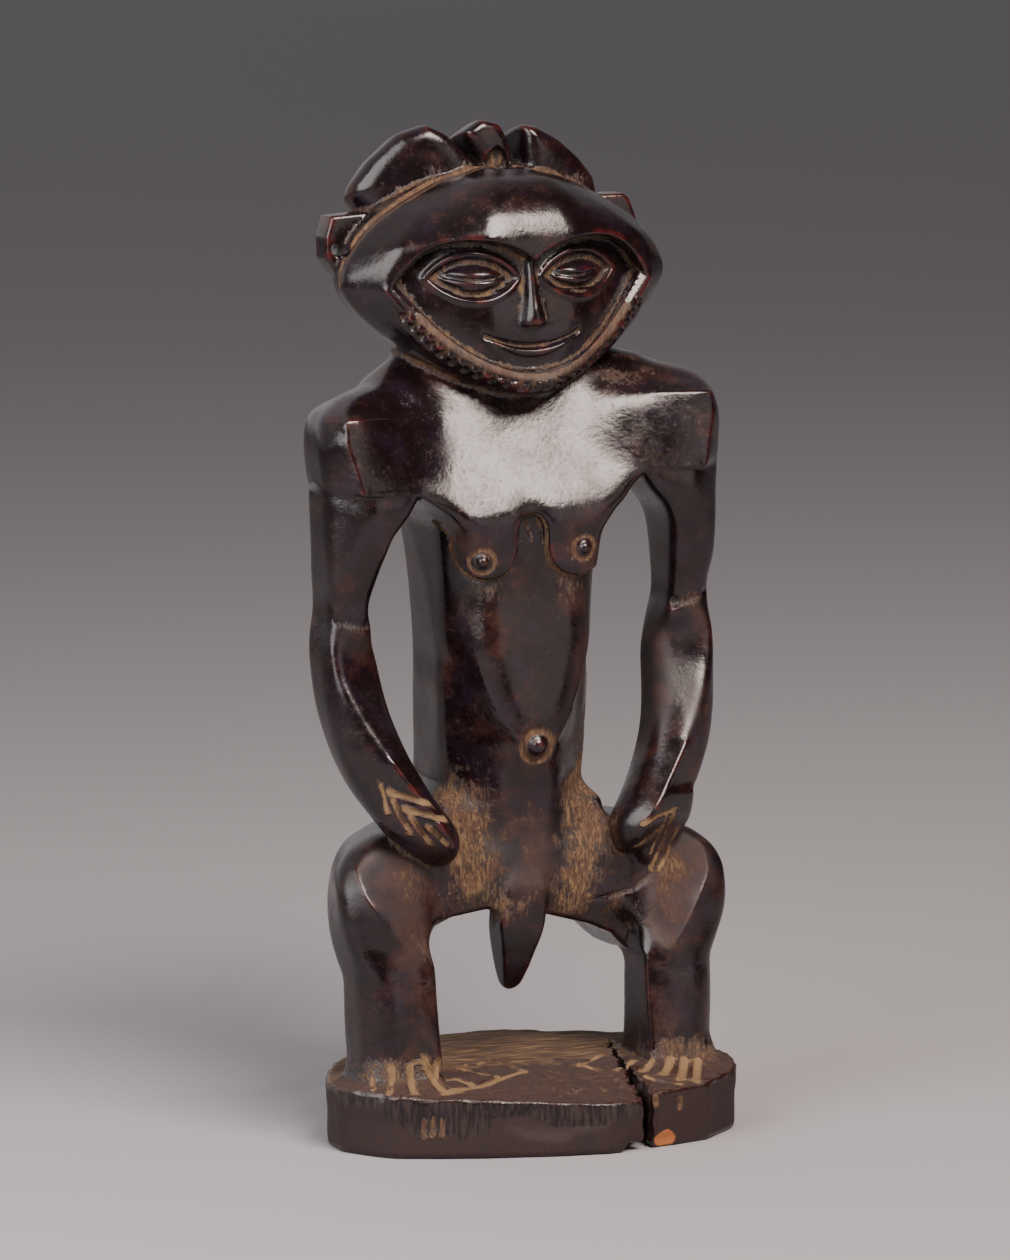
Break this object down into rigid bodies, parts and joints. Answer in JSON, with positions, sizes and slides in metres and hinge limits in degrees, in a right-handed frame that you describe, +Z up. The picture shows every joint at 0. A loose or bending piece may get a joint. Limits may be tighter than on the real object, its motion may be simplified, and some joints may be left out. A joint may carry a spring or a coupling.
{
  "type": "ancestor figure",
  "caption": "Carved wooden male ancestor figure with bent legs, hands on the hips, wide heart-shaped face and lobed crest, standing on a thick base of the same block.",
  "frame": {"origin": "on the underside of the base, below the middle of the figure", "axes": "+Z up, the figure looks along -Y, its own left side is at +X"},
  "size_m": [0.1424, 0.106, 0.3306],
  "materials": {
    "patinated_wood": "dark oiled and handled patina, dusty in the cuts"
  },
  "bodies": {
    "root": {"ancestor_figure": "patinated_wood"}
  },
  "joints": []
}
